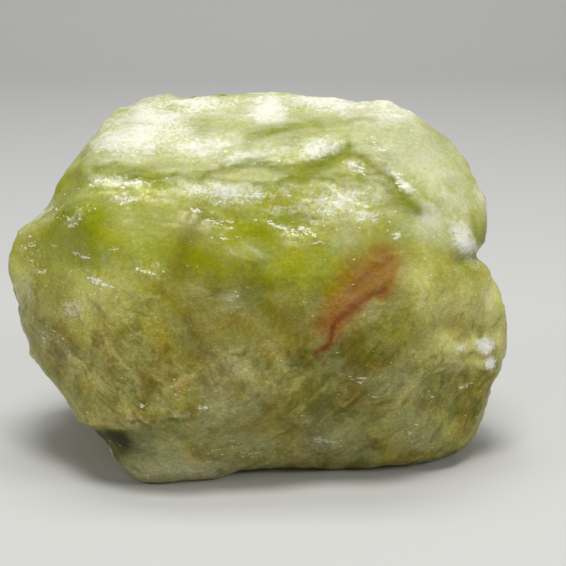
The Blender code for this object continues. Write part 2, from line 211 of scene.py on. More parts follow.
# White crushed skin, and painted highlights on the right lobe.
FROST_AND_HIGHLIGHTS = (
    ((-45.0, 52.5), (17.0, 9.0), 4.0, 0.85), ((-58.0, 47.0), (8.0, 6.0), 20.0, 0.7),
    ((-4.3, 57.0), (7.0, 6.0), 0.0, 1.0), ((-28.0, 59.5), (14.0, 5.0), 0.0, 0.75),
    ((14.0, 60.0), (16.0, 5.0), 0.0, 0.75), ((36.0, 58.0), (9.0, 5.0), -20.0, 0.6),
    ((-53.0, 45.0), (10.0, 3.0), 0.0, 0.6), ((-27.0, 45.0), (11.0, 4.5), 0.0, 0.75),
    ((-13.7, 42.3), (9.0, 2.4), 5.0, 0.8), ((12.2, 44.8), (6.8, 3.4), 12.0, 1.1),
    ((-54.0, 33.6), (9.5, 1.3), -3.0, 0.70), ((1.0, 31.0), (5.0, 2.6), 0.0, 0.55),
    ((-52.5, 27.7), (4.5, 1.4), 0.0, 0.7), ((-20.0, 31.0), (17.0, 4.0), -2.0, 0.74),
    ((-8.7, 29.7), (3.0, 1.6), 0.0, 0.9), ((18.7, 27.3), (13.0, 5.8), 0.0, 0.64),
    ((28.0, 23.0), (4.5, 2.2), 0.0, 0.8), ((24.0, 38.0), (2.8, 1.1), -20.0, 1.05),
    ((-1.0, 24.5), (6.0, 2.2), 0.0, 0.45), ((39.8, 33.6), (5.2, 1.5), -42.0, 1.1),
    # The small white spots at (68.3, -5.5), (67.2, -20.7), (59.3, -21.7) and (68.8, -26.8) are
    # painted highlights.
    ((61.0, 13.5), (3.6, 6.5), 25.0, 0.85), ((68.3, -5.5), (1.5, 4.5), 12.0, 0.5),
    ((67.2, -20.7), (2.4, 2.1), 0.0, 1.5), ((59.3, -21.7), (1.6, 1.3), 0.0, 1.2),
    ((68.8, -26.8), (1.6, 1.7), 0.0, 1.4), ((-70.0, -9.0), (4.0, 3.0), 0.0, 0.5),
    ((-85.0, 1.5), (3.5, 3.0), 0.0, 0.25), ((0.0, 45.5), (8.0, 2.5), 5.0, 0.45),
    ((-79.0, 24.3), (4.0, 1.3), 46.0, 0.85), ((-69.0, 21.0), (5.0, 1.4), 25.0, 0.45),
)
# Pale, cream-coloured stone, and painted bounce light along the foot.
PALE_AND_BOUNCE_LIGHT = (
    ((57.0, 26.0), (8.0, 6.0), -50.0, 0.8), ((50.0, 40.0), (17.0, 15.0), -50.0, 0.65),
    ((66.0, 28.0), (4.0, 7.0), 0.0, 0.8), ((21.0, 15.0), (5.0, 4.0), 0.0, 0.45),
    ((-86.0, -3.5), (4.0, 5.0), 0.0, 0.3), ((-22.0, -46.0), (5.0, 4.0), 0.0, 0.3),
    ((42.0, -46.0), (5.0, 4.0), 0.0, 0.3), ((10.0, -54.0), (6.0, 3.0), 0.0, 0.3),
    ((-10.0, -54.5), (6.0, 3.0), 0.0, 0.3), ((38.0, 56.0), (9.0, 6.0), 0.0, 0.7),
    # The long patch at (-35.0, -62.5) lightens the foot: painted bounce light.
    ((49.0, 22.0), (7.0, 6.0), -50.0, 1.0), ((-35.0, -62.5), (18.0, 3.5), 0.0, 0.9),
    ((-22.0, -38.0), (4.0, 16.0), 5.0, 0.30), ((-17.0, -27.0), (6.0, 3.0), -25.0, 0.5),
)
PALE_BANDS = (
    (5.5, 4.5, 0.90, TONGUE),
)
# Milky, clouded yellow stone.
MILKY_PATCHES = (
    ((-88.0, 3.0), (4.5, 9.0), 0.0, 0.9), ((70.0, -3.0), (6.0, 12.0), 10.0, 1.2),
    ((58.0, -5.0), (13.0, 12.0), 0.0, 0.85), ((-64.0, -6.0), (15.0, 10.0), 0.0, 0.8),
    ((47.0, 1.0), (8.0, 11.0), 0.0, 0.75), ((60.0, -19.5), (13.0, 5.0), -8.0, 1.1),
    ((64.0, -27.0), (5.0, 2.6), 0.0, 1.0), ((72.0, -20.0), (3.0, 5.0), 0.0, 1.0),
    ((-20.0, 28.0), (24.0, 6.0), -2.0, 0.5), ((20.0, 27.0), (16.0, 8.0), 0.0, 0.5),
    ((-75.0, 8.0), (9.0, 8.0), 0.0, 0.35), ((-58.0, 16.0), (6.0, 5.0), 0.0, 0.2),
)
# Where the yellow-green glows.
GLOW = (
    ((2.0, 7.0), (20.0, 8.0), -5.0, 0.95), ((-42.0, 19.0), (16.0, 7.0), 0.0, 0.5),
    ((0.0, 24.0), (9.0, 5.0), 0.0, 0.60), ((-74.0, 14.0), (10.0, 8.0), 30.0, 0.5),
    ((-16.0, 14.0), (14.0, 6.0), 0.0, 0.6), ((40.5, 25.5), (5.5, 3.0), -48.0, 0.8),
    ((42.0, -16.0), (7.0, 4.0), 0.0, 0.6), ((-56.0, 12.0), (12.0, 6.0), 0.0, 0.6),
    ((-40.0, 14.0), (16.0, 7.0), 0.0, 0.8), ((-69.0, 15.0), (9.0, 7.0), 0.0, 0.9),
    ((62.5, 5.5), (5.0, 3.6), 0.0, 1.0), ((55.0, 5.5), (5.0, 5.0), 0.0, 0.5),
    ((-60.0, 7.0), (12.0, 4.0), 0.0, 0.8), ((-77.0, 5.0), (5.0, 7.0), 0.0, 0.5),
    ((-72.0, 9.0), (8.0, 5.0), 0.0, 0.7),
)
# Smooth clouded grey-green, low on the stone.
GREY = (
    ((-43.8, -55.0), (11.0, 8.0), 0.0, 1.2), ((37.7, -35.0), (6.0, 8.0), -40.0, 0.8),
    ((44.0, -50.5), (8.0, 4.5), 0.0, 0.8), ((-76.0, -26.0), (8.0, 6.0), -40.0, 0.6),
    ((14.8, -53.0), (11.0, 5.0), 0.0, 1.1), ((-20.0, -24.0), (4.5, 2.5), 30.0, 0.8),
    ((-4.3, -60.5), (13.0, 2.4), 0.0, 0.8), ((-43.0, -63.5), (9.0, 3.0), 0.0, 0.9),
    ((53.0, -42.0), (10.0, 7.0), 0.0, 0.4), ((-20.0, -42.0), (6.0, 10.0), 0.0, 0.9),
    ((-10.0, -38.0), (9.0, 5.0), 20.0, 0.5), ((30.0, -36.8), (4.0, 2.5), 0.0, 0.6),
    ((-60.0, -38.0), (12.0, 3.0), -42.0, 0.6), ((-54.0, -37.0), (6.0, 4.0), 0.0, 0.7),
    ((42.0, -45.5), (6.0, 4.0), 0.0, 1.0), ((-11.0, -54.0), (7.0, 4.0), 0.0, 1.2),
)
# Brown-olive stone, and one patch of painted shade under the lower right lip.
EARTH_AND_SHADE = (
    ((-34.0, 4.5), (3.2, 6.0), -20.0, 0.8), ((-31.0, -25.0), (13.0, 9.0), 0.0, 0.5),
    ((-2.0, -12.0), (15.0, 8.0), 0.0, 0.7), ((56.5, -12.5), (7.0, 3.6), 0.0, 0.45),
    ((9.0, 21.0), (3.2, 1.6), 0.0, 0.6), ((14.0, -4.0), (8.0, 8.0), 0.0, 0.4),
    ((-20.0, -9.0), (15.0, 8.0), -15.0, 1.0), ((44.0, -16.0), (8.0, 4.0), 0.0, 0.4),
    # The patch at (64.5, -41.0) is painted shade under the lower right lip.
    ((64.5, -41.0), (5.0, 8.0), -15.0, 0.9), ((30.0, -12.0), (8.0, 4.0), 0.0, 0.5),
)
EARTH_BAND = (
    (4.6, 4.0, 0.75, ((-28.3, 21.3), (-32.0, 12.0), (-36.0, 4.7), (-40.3, -3.0))),
)
# Clear stone, where the colour is deep: patches and bands.
DEEP = (
    ((16.5, 37.5), (5.0, 2.4), 10.0, 0.75), ((-72.0, 27.0), (10.0, 3.6), 52.0, 0.8),
    ((-52.0, 38.6), (13.0, 2.0), -3.0, 0.9), ((-60.0, 41.0), (8.0, 3.0), 10.0, 0.4),
    ((9.0, 36.8), (11.0, 2.4), 3.0, 0.75), ((-26.0, 51.5), (4.0, 2.4), 0.0, 0.55),
    ((37.5, 28.0), (9.5, 3.2), -48.0, 0.65), ((2.0, 50.3), (10.0, 3.0), 6.0, 0.6),
    ((-75.0, 13.0), (9.0, 6.0), 20.0, 0.2), ((-23.0, 24.5), (6.0, 3.0), 0.0, 0.35),
    ((-3.0, 22.0), (8.0, 3.0), 0.0, 0.45), ((30.0, 47.0), (3.0, 3.0), -10.0, 0.5),
    ((-66.0, 20.0), (6.0, 4.0), 40.0, 0.4), ((22.0, 35.0), (10.0, 3.2), -8.0, 0.9),
    ((26.0, 41.5), (7.0, 3.4), -24.0, 0.8), ((-48.0, 40.0), (18.0, 2.6), -3.0, 0.5),
    ((-54.0, 57.0), (5.0, 5.0), 0.0, 0.45), ((53.0, 53.0), (8.0, 5.0), -40.0, 0.5),
    ((33.0, 41.5), (4.5, 3.6), -30.0, 0.45), ((36.0, 50.0), (9.0, 4.0), -15.0, 0.25),
)
DEEP_BANDS = (
    (1.9, 2.2, 0.95, BROW_SWEEP), (0.9, 1.3, 0.55, BROW_MIDDLE), (1.3, 2.0, 0.75, BROW_RISE),
    (1.6, 1.8, 0.9, BROW_PEAK), (1.9, 1.5, 0.90, BROW_UNDER), (1.9, 1.5, 0.85, BROW_LEFT),
    (1.4, 1.0, 0.75, TERRACE_END), (1.8, 2.0, 0.80, BROW_RIGHT), (2.6, 2.4, 0.95, TERRACE),
)
# Thin dark lines where a crack lets the eye into the green.
SEAMS = (
    (1.3, 0.9, 0.90, BROW_LEFT), (0.9, 0.5, 0.55, BROW_MIDDLE), (1.6, 1.2, 0.70, FLANK_SEAM),
    (1.0, 1.1, 0.85, BROW_RIGHT), (0.9, 0.7, 0.90, BRIGHT_CRACK), (0.8, 0.7, 0.45, TERRACE),
    (0.8, 1.2, 0.50, BROW_RISE), (0.8, 0.9, 0.85, TONGUE_EDGE),
    (0.8, 0.8, 0.60, LOWER_LEFT_CRACK), (0.9, 0.7, 0.35, LOWER_RIGHT_LIP),
)
# Darker green stone, mostly low on the front, partly painted shade: in the notch, under
# the tongue and lip at the right edge, in the scoop, and where the form catches the lamps.
SHADE = (
    ((28.2, -24.3), (12.0, 4.5), -8.0, 0.9), ((19.3, -41.8), (4.0, 5.0), 0.0, 0.6),
    ((8.8, -41.3), (8.0, 11.0), 0.0, 0.6), ((54.0, -32.4), (9.0, 3.2), 0.0, 0.9),
    ((62.0, -40.0), (7.0, 8.0), 0.0, 1.2), ((53.5, -40.0), (11.0, 8.0), 0.0, 0.75),
    ((68.5, -42.0), (5.0, 11.0), -15.0, 1.1), ((-46.2, -35.5), (6.0, 4.5), 0.0, 0.45),
    ((-36.8, -47.0), (5.0, 3.4), 0.0, 0.9), ((-14.7, 1.0), (7.0, 2.8), -25.0, 0.7),
    ((-9.5, -1.5), (8.0, 6.0), 0.0, 0.9), ((57.0, -55.3), (8.0, 3.0), 20.0, 0.6),
    ((-66.0, -38.0), (6.0, 4.0), -45.0, 0.5), ((67.2, 13.0), (2.0, 5.0), 10.0, 0.85),
    ((71.5, -11.0), (2.0, 4.0), 0.0, 0.4), ((-31.5, 18.0), (5.0, 3.6), -15.0, 0.35),
    ((29.0, -10.5), (8.0, 4.5), 0.0, 0.95), ((21.0, -19.0), (6.0, 3.0), 0.0, 0.4),
    ((37.0, -4.0), (5.0, 5.0), 0.0, 0.4), ((-22.0, 14.0), (6.0, 5.0), 0.0, 0.6),
    ((0.0, 13.5), (6.0, 4.0), 0.0, 0.3), ((64.5, 5.5), (5.0, 4.0), 0.0, 0.7),
    ((-58.0, 7.0), (11.0, 4.0), 0.0, 0.35), ((-11.0, 6.0), (6.0, 4.0), 0.0, 0.9),
    ((-21.0, -1.5), (6.0, 4.0), 0.0, 0.85), ((12.0, -3.0), (5.0, 4.0), 0.0, 0.35),
    ((-75.0, -3.0), (6.0, 5.0), 0.0, 0.35), ((42.0, -19.5), (5.0, 3.0), 0.0, 0.4),
)
HOLLOW_TOP = -48.6              # the painted shadow in the hollow starts sharply under this height
SHADOW = (
    ((-57.5, -51.2), (8.0, 5.2), -38.0, 1.7), ((-48.0, -51.0), (5.0, 4.0), 0.0, 0.6),
)
# Iron stain: its body, then the darker threads in it.
STAIN = (
    (8.5, 6.0, 1.15, ((33.0, 7.0), (27.0, -1.0), (20.0, -8.5), (16.0, -14.0))),
    (7.0, 4.5, 0.85, ((25.0, 5.5), (19.0, -3.0), (15.0, -11.5))),
    (4.5, 4.5, 1.00, ((36.0, 7.0), (34.0, -3.0))),
    (2.2, 1.3, 0.85, ((16.0, -13.7), (15.0, -20.7), (10.3, -23.3))),
    (1.6, 1.0, 0.60, ((-32.5, -33.0), (-35.0, -35.0))),
    (1.2, 0.9, 0.45, ((-16.5, -12.0), (-17.7, -14.5))),
)
STAIN_CORE = (
    (1.7, 2.0, 0.80, ((34.3, -1.7), (28.0, -5.0), (21.5, -9.7), (17.5, -12.0))),
    (2.2, 1.8, 0.50, ((35.0, 9.0), (28.0, 3.0), (22.0, -3.0))),
    (1.0, 0.8, 0.95, ((16.3, -13.5), (15.3, -20.0), (10.3, -23.3))),
)
# Milky veils: broad healed cracks, then hair-thin ones.
VEIL_BANDS = (
    (2.2, 2.0, 0.90, ((-71.0, -24.7), (-60.0, -34.0), (-48.3, -45.3))),
    (1.4, 1.1, 0.95, ((-37.0, -53.7), (-26.3, -61.0))),
    (1.3, 0.9, 0.65, ((-41.0, -37.0), (-28.0, -29.0), (-13.7, -21.7))),
    (1.6, 1.2, 0.60, ((34.0, -46.0), (40.0, -37.0), (46.0, -30.0))),
    (1.5, 1.0, 0.50, ((-68.0, -9.0), (-58.0, -22.0), (-47.0, -33.0))),
    (1.4, 1.0, 0.60, ((44.0, -24.0), (52.0, -25.0), (60.0, -27.0))),
    (1.3, 1.0, 0.85, ((-66.0, -44.6), (-57.0, -46.6), (-45.0, -46.8))),
    (2.0, 1.4, 0.40, ((-6.0, -20.0), (4.0, -32.0), (8.0, -46.0))),
)
VEIL_LINES = (
    (0.5, 0.4, 0.9, ((-48.0, -4.7), (-41.0, -4.2))),
    (0.5, 0.4, 0.7, ((-51.0, -17.3), (-36.0, -15.7))),
    (0.5, 0.4, 0.6, ((-59.0, -27.0), (-49.3, -27.7))),
    (0.6, 0.4, 0.7, ((-34.3, -55.3), (-28.0, -61.3))),
    (0.6, 0.5, 0.5, ((-22.7, -20.7), (-12.7, -27.3), (-9.0, -33.0))),
    (0.6, 0.4, 0.8, ((59.0, -34.3), (64.0, -32.3))),
)

# ---------------------------------------------------------------- surface grain

VOXEL = 0.93
SMOOTH_ROUNDS = 9
BASE_HOLD = 2.0                 # relief fades out this close to the flat base
CRACK_TAPER = 5.0
LEDGE_FACE = 0.7                # half the width of a ledge's worn face
FRONT_CALM = 0.45               # how much of the plates' relief the worn front keeps
FRONT_TERRACES = 0.10           # and how much of the terraces'
RIM_CHIPS = 0.45                # extra relief where the front turns away
SHARP_ANGLE = math.radians(32.0)

# Broken plates at three sizes: (cell size, tilt, rise, seam).
COARSE_PLATES = (13.0, 0.07, 0.20, 0.06)
FINE_PLATES = (5.0, 0.11, 0.12, 0.08)
CHIP_PLATES = (2.9, 0.50, 0.30, 0.10)
PLATE_SEED = 7                  # settles which way each plate leans

# Stepped breaks: the surface drops in thin terraces with wandering edges.
TERRACE_SPACING = 9.0
TERRACE_DROP = 0.50

STRIA_SPACING = 2.3
STRIA_HEIGHT = 0.05
GRIT_SIZE = 1.9
GRIT_HEIGHT = 0.10

# Wandering of the named places, and sizes of the patches on the hidden sides.
WARP_SIZE = 7.0
WARP_REACH = 1.1
BROKEN_SIZE = 24.0
PATCHY_SIZE = 30.0
DAPPLE_SIZE = 18.0

VEILS_TURN = (-45.0, 5.0)       # left of this the veils fall to the right, past it they rise
EDGE_REACH = 3                  # rounds of averaging that find edges and creases
LEAN_REACH = 60                 # rounds of averaging that find what broadly faces up
EDGE_SCALE = 0.16               # millimetres of bulge that count as a full edge


def smooth(value, low, high):
    """0 below low, 1 above high, and an S curve between."""
    share = np.clip((value - low) / (high - low), 0.0, 1.0)
    return share * share * (3.0 - 2.0 * share)


def seen_from_camera(points):
    """Where points show in the frame: (across, up) in millimetres from its middle."""
    away = points - AIM
    nearer = CAMERA_DISTANCE / (CAMERA_DISTANCE - away @ OUT)
    return np.stack((away @ ACROSS * nearer, away @ UP * nearer), axis=1)


def to_line(spots, points):
    """Distance to a polyline, side (1 is its left), fade to its ends, share run."""
    best = np.full(len(spots), np.inf)
    hand = np.ones(len(spots))
    travel = np.zeros(len(spots))
    line = np.array(points)
    length = 0.0
    for start, end in zip(line[:-1], line[1:]):
        run = end - start
        away = spots - start
        along = np.clip(away @ run / (run @ run), 0.0, 1.0)
        gap = np.linalg.norm(away - along[:, None] * run, axis=1)
        turn = run[0] * away[:, 1] - run[1] * away[:, 0]
        nearer = gap < best
        best = np.where(nearer, gap, best)
        hand = np.where(nearer, np.sign(turn), hand)
        travel = np.where(nearer, length + along * np.linalg.norm(run), travel)
        length += np.linalg.norm(run)
    fade = smooth(travel, 0.0, CRACK_TAPER) * smooth(length - travel, 0.0, CRACK_TAPER)
    return best, hand, fade, travel / length


def patch_mask(spots, patches):
    """How strongly a set of soft oval patches covers each spot, 0 to 1."""
    cover = np.zeros(len(spots))
    for middle, half, turn, strength in patches:
        away = spots - np.array(middle)
        angle = math.radians(turn)
        long_way = away[:, 0] * math.cos(angle) + away[:, 1] * math.sin(angle)
        short_way = away[:, 1] * math.cos(angle) - away[:, 0] * math.sin(angle)
        reach = (long_way / half[0]) ** 2 + (short_way / half[1]) ** 2
        cover = np.maximum(cover, strength * np.exp(-0.7 * reach))
    return np.minimum(cover, 1.0)


def strand_mask(spots, strands):
    """How strongly a set of soft strands covers each spot, 0 to 1."""
    cover = np.zeros(len(spots))
    for start_width, end_width, strength, points in strands:
        gap, _, _, share = to_line(spots, points)
        width = start_width + (end_width - start_width) * share
        cover = np.maximum(cover, strength * np.exp(-((gap / width) ** 2)))
    return np.minimum(cover, 1.0)


def noise_at(points, size, place=0.0):
    """Smooth noise, -1 to 1, with features of the given size."""
    shift = Vector((place, place * 1.7, place * 2.3))
    return np.array([noise.noise(Vector(point) / size + shift) for point in points])


def plates_at(points, cell, tilt, rise, seam):
    """Height of a patchwork of small tilted faces that meet at worn seams."""
    height = np.empty(len(points))
    for index, point in enumerate(points):
        place = Vector(point)
        gaps, middles = noise.voronoi(place / cell)
        levels = []
        for middle in middles[:2]:
            lean = noise.noise_vector(middle * 7.31)
            bump = noise.noise(middle * 5.17)
            levels.append(tilt * lean.dot(place - middle * cell) + rise * bump)
        share = min((gaps[1] - gaps[0]) / seam, 1.0)
        second = 0.5 - 0.5 * share
        height[index] = levels[0] * (1.0 - second) + levels[1] * second
    return height


def terraces_at(points):
    """Height of thin terraces that step down across the stone, like a stepped break."""
    slope = noise_at(points, 30.0, 30.0) * 2.4 + noise_at(points, 8.0, 33.0) * 0.25
    climb = slope * (10.0 / TERRACE_SPACING)
    part = climb - np.floor(climb)
    return TERRACE_DROP * (smooth(part, 0.90, 1.0) - part)


def spread(mesh, values, rounds):
    """Values, one row a vertex, blended with those of the vertices around."""
    count = len(values)
    pairs = np.empty(len(mesh.edges) * 2, dtype=np.int64)
    mesh.edges.foreach_get("vertices", pairs)
    first, second = pairs[0::2], pairs[1::2]
    links = np.bincount(pairs, minlength=count).astype(float)
    for _ in range(rounds):
        around = np.empty_like(values)
        for axis in range(values.shape[1]):
            around[:, axis] = (np.bincount(first, values[second, axis], count)
                               + np.bincount(second, values[first, axis], count))
        values = 0.5 * values + 0.5 * around / links[:, None]
    return values


def edges_of(mesh, points, normals):
    """Bulge of each vertex over its surroundings: above 0 on edges, below in creases."""
    away = points - spread(mesh, points, EDGE_REACH)
    bulge = (away * normals).sum(axis=1)[:, None]
    return spread(mesh, bulge, 1)[:, 0] / EDGE_SCALE


# ---------------------------------------------------------------- mesh

def fine_copy(node):
    """The CAD solid, rounded a little and remeshed finely, as a new object."""
    mesh = node.data.copy()
    mesh.name = "citrine_stone"
    work = bmesh.new()
    work.from_mesh(mesh)
    bmesh.ops.remove_doubles(work, verts=work.verts[:], dist=0.00001)
    work.to_mesh(mesh)
    work.free()
    mesh.materials.clear()
    stone = bpy.data.objects.new("citrine_stone", mesh)
    bpy.context.scene.collection.objects.link(stone)
    subdivide = stone.modifiers.new("round the facets", "SUBSURF")
    subdivide.levels = subdivide.render_levels = 2
    remesh = stone.modifiers.new("even grid", "REMESH")
    remesh.mode = "VOXEL"
    remesh.voxel_size = VOXEL * MM
    soften = stone.modifiers.new("soften", "SMOOTH")
    soften.factor = 0.5
    soften.iterations = SMOOTH_ROUNDS
    evaluated = stone.evaluated_get(bpy.context.evaluated_depsgraph_get())
    fine = bpy.data.meshes.new_from_object(evaluated)
    stone.modifiers.clear()
    stone.data = fine
    fine.name = "citrine_stone"
    bpy.data.meshes.remove(mesh)
    return stone


def read_vertices(mesh, what):
    """Vertex positions or normals as an array."""
    values = np.empty(len(mesh.vertices) * 3)
    mesh.vertices.foreach_get(what, values)
    return values.reshape(-1, 3)


def line_relief(spots):
    """Height of the cracks and ledges that the front shows."""
    height = np.zeros(len(spots))
    for depth, half_width, points in CRACKS.values():
        gap, _, fade, _ = to_line(spots, points)
        height -= depth * fade * np.exp(-((gap / half_width) ** 2))
    for rise, reach, points in LEDGES.values():
        gap, hand, fade, _ = to_line(spots, points)
        lift = smooth(gap * hand, -LEDGE_FACE, LEDGE_FACE) * np.exp(-gap / reach)
        height += rise * fade * lift
    return height


def survey(mesh):
    """What carving and colouring need to know of each vertex, before any relief."""
    points = read_vertices(mesh, "co") / MM
    normals = read_vertices(mesh, "normal")
    to_camera = CAMERA_PLACE - points
    to_camera /= np.linalg.norm(to_camera, axis=1)[:, None]
    toward = (normals * to_camera).sum(axis=1)
    facing = smooth(toward, 0.0, 0.15)
    warp = np.stack((noise_at(points, WARP_SIZE, 1.0), noise_at(points, WARP_SIZE, 4.0)), axis=1)
    broad_lean = spread(mesh, normals, LEAN_REACH)[:, 2] + 0.12 * noise_at(points, 6.0, 70.0)
    return SimpleNamespace(
        points=points,
        normals=normals,
        toward=toward,
        facing=facing,
        hidden=1.0 - facing,
        spots=seen_from_camera(points) + WARP_REACH * warp,
        above_base=smooth(points[:, 2], 0.0, BASE_HOLD),
        broken=smooth(noise_at(points, BROKEN_SIZE, 9.0), -0.15, 0.45),
        upward=smooth(broad_lean, 0.35, 0.85),
        patchy=noise_at(points, PATCHY_SIZE, 40.0),
        dapple=noise_at(points, DAPPLE_SIZE, 50.0))


def places(ground, patches, strands=(), elsewhere=0.0):
    """Named places on the front, and something like them on the hidden sides."""
    cover = np.maximum(patch_mask(ground.spots, patches), strand_mask(ground.spots, strands))
    return np.maximum(ground.facing * cover, ground.hidden * elsewhere)


def striations_at(points):
    """Height of fine parallel lines that run across the stone and wander a little."""
    bend = 4.0 * noise_at(points, 22.0, 12.0) + 1.2 * noise_at(points, 5.0, 14.0)
    phase = points @ UP + 0.10 * points[:, 0] + bend
    return STRIA_HEIGHT * np.sin(phase * (math.tau / STRIA_SPACING))


def relief(ground, chipped, frost_and_highlights):
    """Height of all the fine relief: lines, plates, chips, terraces, striations, grit."""
    points = ground.points
    calm = FRONT_CALM + (1.0 - FRONT_CALM) * ground.hidden
    height = ground.facing * line_relief(ground.spots)
    height += calm * plates_at(points, *COARSE_PLATES)
    height += calm * (0.4 + 0.6 * ground.broken) * plates_at(points, *FINE_PLATES)
    height += chipped * plates_at(points, *CHIP_PLATES)
    height += (FRONT_TERRACES + (1.0 - FRONT_TERRACES) * ground.hidden) * terraces_at(points)
    rim = smooth(-np.abs(ground.toward), -0.45, -0.10)
    chips = noise_at(points, 4.5, 60.0) + 0.6 * noise_at(points, 1.9, 63.0)
    height += RIM_CHIPS * rim * chips
    height += np.maximum(frost_and_highlights, 0.8 * ground.upward) * striations_at(points)
    height += GRIT_HEIGHT * noise_at(points, GRIT_SIZE, 20.0)
    return height * ground.above_base


def masks_of(mesh, ground, raised, chipped, frost_and_highlights):
    """How strongly each named colour or finish covers each vertex."""
    spots = ground.spots
    return {
        "chipped": chipped,
        "frost_and_highlights": frost_and_highlights,
        "sparkle": places(ground, SPARKLE, elsewhere=0.7 * ground.broken),
        "glint_strokes": places(ground, (), GLINT_STROKES),
        "pale": places(ground, PALE_AND_BOUNCE_LIGHT, PALE_BANDS, smooth(ground.patchy, 0.0, 0.5)),
        "deep": places(ground, DEEP, DEEP_BANDS, smooth(-ground.patchy, 0.0, 0.5)),
        "milky": places(ground, MILKY_PATCHES),
        "glow": places(ground, GLOW),
        "grey": places(ground, GREY, elsewhere=0.7 * smooth(ground.dapple, 0.1, 0.5)),
        "earth": places(ground, EARTH_AND_SHADE, EARTH_BAND),
        "shade": places(ground, SHADE, elsewhere=0.6 * smooth(-ground.dapple, 0.1, 0.5)),
        "seam": places(ground, (), SEAMS),
        "shadow": places(ground, SHADOW) * smooth(HOLLOW_TOP - spots[:, 1], -0.6, 0.8),
        "stain": places(ground, (), STAIN),
        "stain_core": places(ground, (), STAIN_CORE),
        "veils": places(ground, (), VEIL_BANDS, 0.25),
        "lines": places(ground, (), VEIL_LINES),
        "lean": smooth(spots[:, 0], *VEILS_TURN) * smooth(-spots[:, 1], -15.0, -5.0),
        "top": ground.upward,
        "edge": np.clip(edges_of(mesh, raised, ground.normals), -1.0, 1.0),
        "height": raised[:, 2] * MM / CAD_BOX[1][2],
    }


def carve(stone):
    """Lays the fine relief on the mesh and keeps the masks that colour it."""
    mesh = stone.data
    ground = survey(mesh)
    chipped = places(ground, CHIPPED, elsewhere=0.6 * ground.broken)
    frost_and_highlights = places(ground, FROST_AND_HIGHLIGHTS, elsewhere=0.75 * ground.upward + 0.5 * ground.broken)
    raised = ground.points + ground.normals * relief(ground, chipped, frost_and_highlights)[:, None]
    raised = np.clip(raised, np.array(CAD_BOX[0]) / MM, np.array(CAD_BOX[1]) / MM)
    mesh.vertices.foreach_set("co", (raised * MM).ravel())
    mesh.update()
    mesh.shade_smooth()
    mesh.set_sharp_from_angle(angle=SHARP_ANGLE)
    for name, values in masks_of(mesh, ground, raised, chipped, frost_and_highlights).items():
        layer = mesh.attributes.new(name, "FLOAT", "POINT")
        layer.data.foreach_set("value", values.astype(np.float32))


# ---------------------------------------------------------------- material

class Nodes:
    """Short helpers for one material's nodes."""

    def __init__(self, material):
        material.use_nodes = True
        self.tree = material.node_tree
        self.shader = self.tree.nodes["Principled BSDF"]
        self.output = self.tree.nodes["Material Output"]
        self.place = self.add("ShaderNodeTexCoord").outputs["Object"]

    def add(self, kind, **settings):
        node = self.tree.nodes.new(kind)
        for name, value in settings.items():
            setattr(node, name, value)
        return node

    def feed(self, socket, value):
        if isinstance(value, bpy.types.NodeSocket):
            self.tree.links.new(value, socket)
        else:
            socket.default_value = value

    def mask(self, name):
        return self.add("ShaderNodeAttribute", attribute_name=name).outputs["Fac"]

    def math(self, operation, first, second=0.0, third=0.0):
        node = self.add("ShaderNodeMath", operation=operation)
        for socket, value in zip(node.inputs, (first, second, third)):
            self.feed(socket, value)
        return node.outputs[0]

    def ramp(self, value, low, high, start=0.0, end=1.0):
        node = self.add("ShaderNodeMapRange", interpolation_type="SMOOTHSTEP")
        for socket, number in zip(node.inputs, (value, low, high, start, end)):
            self.feed(socket, number)
        return node.outputs[0]

    def mix(self, share, first, second):
        node = self.add("ShaderNodeMix", data_type="RGBA", clamp_factor=True)
        self.feed(node.inputs["Factor"], share)
        self.feed(node.inputs[6], first)
        self.feed(node.inputs[7], second)
        return node.outputs[2]

    def facets(self, size, shift):
        """Height of small flat crystal faces, each leaning its own way."""
        spot = self.add("ShaderNodeMapping")
        self.feed(spot.inputs["Vector"], self.place)
        spot.inputs["Location"].default_value = (shift, shift, shift)
        spot.inputs["Scale"].default_value = (1.0 / (size * MM),) * 3
        cells = self.add("ShaderNodeTexVoronoi", feature="F1")
        cells.inputs["Scale"].default_value = 1.0
        self.feed(cells.inputs["Vector"], spot.outputs[0])
        lean = self.add("ShaderNodeVectorMath", operation="SUBTRACT")
        self.feed(lean.inputs[0], cells.outputs["Color"])
        lean.inputs[1].default_value = (0.5, 0.5, 0.5)
        away = self.add("ShaderNodeVectorMath", operation="SUBTRACT")
        self.feed(away.inputs[0], spot.outputs[0])
        self.feed(away.inputs[1], cells.outputs["Position"])
        rise = self.add("ShaderNodeVectorMath", operation="DOT_PRODUCT")
        self.feed(rise.inputs[0], lean.outputs[0])
        self.feed(rise.inputs[1], away.outputs[0])
        return rise.outputs["Value"]

    def noise(self, size, detail=4.0, rough=0.55, longer=(1.0, 1.0, 1.0), turn=0.0,
              shift=0.0, twist=0.0):
        """Noise with features of one size, longer along axes turned in the front's plane."""
        spot = self.add("ShaderNodeMapping", vector_type="TEXTURE")
        self.feed(spot.inputs["Vector"], self.place)
        spot.inputs["Location"].default_value = (shift, shift, shift)
        spot.inputs["Rotation"].default_value = (0.0, math.radians(turn), 0.0)
        spot.inputs["Scale"].default_value = longer
        node = self.add("ShaderNodeTexNoise")
        self.feed(node.inputs["Vector"], spot.outputs[0])
        node.inputs["Scale"].default_value = 1.0 / (size * MM)
        node.inputs["Detail"].default_value = detail
        node.inputs["Roughness"].default_value = rough
        node.inputs["Distortion"].default_value = twist
        return node.outputs["Fac"]


def linear(red, green, blue):
    """A colour given in screen values, 0 to 255, as Blender's linear colour."""
    parts = []
    for value in (red, green, blue):
        share = value / 255.0
        parts.append(share / 12.92 if share <= 0.04045 else ((share + 0.055) / 1.055) ** 2.4)
    return (*parts, 1.0)


